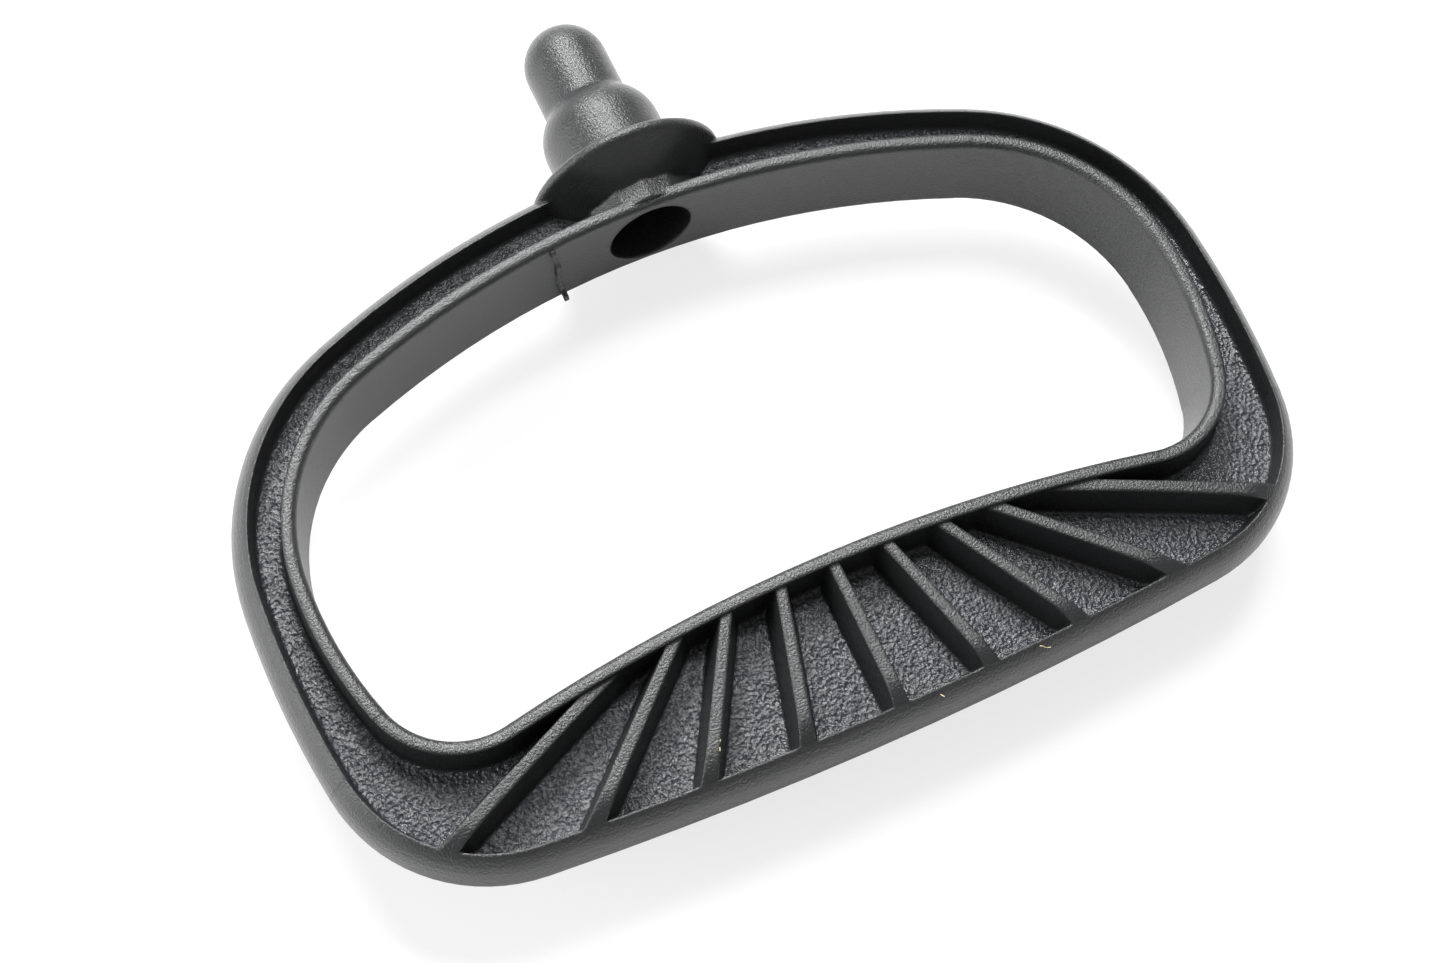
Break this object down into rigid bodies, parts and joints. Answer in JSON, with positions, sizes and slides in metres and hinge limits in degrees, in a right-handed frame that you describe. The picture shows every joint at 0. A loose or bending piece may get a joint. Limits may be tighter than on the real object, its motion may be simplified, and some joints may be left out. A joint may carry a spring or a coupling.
{
  "type": "recoil starter handle",
  "caption": "Closed loop pull handle with a ribbed grip, a channelled bow and a hollow rope stem with a saucer flange, for pulling a starter rope.",
  "frame": {"origin": "centre of the bounding box, on the rope axis and in the parting plane", "axes": "+Y along the rope, from the loop out through the stem's tip; +X across the loop to the right hand side; +Z out of one of the two like faces"},
  "size_m": [0.14, 0.1126, 0.0284],
  "materials": {
    "black_plastic": "moulded, satin walls and spark-eroded grain on the channel floors"
  },
  "bodies": {
    "root": {"starter_handle": "black_plastic"}
  },
  "joints": []
}
